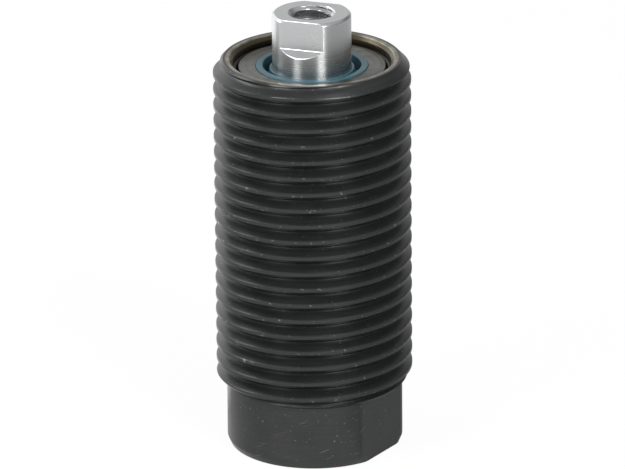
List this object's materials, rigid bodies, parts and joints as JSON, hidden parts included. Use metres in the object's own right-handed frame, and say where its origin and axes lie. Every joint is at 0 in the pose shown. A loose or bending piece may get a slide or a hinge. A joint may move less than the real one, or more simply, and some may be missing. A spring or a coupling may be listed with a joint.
{
  "type": "single-acting hydraulic cylinder",
  "caption": "Threaded-body single-acting hydraulic cylinder: fully threaded black barrel on a flatted base, spring-returned steel plunger with tapped tip, and an oil port underneath.",
  "frame": {"origin": "centre of the base's underside, on the bore axis", "axes": "+Z along the bore axis towards the plunger's tip; +X is normal to the two wrench flats of the base"},
  "size_m": [0.025, 0.025, 0.0575],
  "materials": {
    "body_black_oxide": "black oxide over turned steel",
    "sintered_bronze": "sintered bronze",
    "plunger_steel": "ground and polished hard steel",
    "seal_polyurethane": "moulded polyurethane",
    "black_rubber": "moulded nitrile rubber",
    "bearing_plastic": "filled bearing plastic",
    "guide_steel": "turned steel",
    "wiper_polyurethane": "moulded polyurethane",
    "ring_spring_steel": "blackened spring wire",
    "spring_steel": "oil-tempered spring wire"
  },
  "bodies": {
    "cylinder": {"cylinder_body": "body_black_oxide", "port_filter": "sintered_bronze", "rod_guide": "guide_steel", "rod_bearing_ring": "bearing_plastic", "guide_oring": "black_rubber", "rod_wiper": "wiper_polyurethane", "retaining_ring": "ring_spring_steel", "return_spring": "spring_steel"},
    "piston_packing": {"piston_seal_cup": "seal_polyurethane", "seal_energiser_ring": "black_rubber", "seal_backup_ring": "bearing_plastic", "piston_wear_ring": "bearing_plastic"},
    "plunger": {"plunger": "plunger_steel"}
  },
  "joints": [
    {"name": "plunger_travel", "type": "slide", "parent": "cylinder", "child": "piston_packing", "axis": [0, 0, 1], "range_m": [0, 0.013], "stiffness_N_per_m": 3000, "springref_m": -0.01, "deforming": ["return_spring"]},
    {"name": "plunger_turn", "type": "hinge", "parent": "piston_packing", "child": "plunger", "pos_m": [0, 0, 0.02], "axis": [0, 0, 1], "continuous": true}
  ]
}
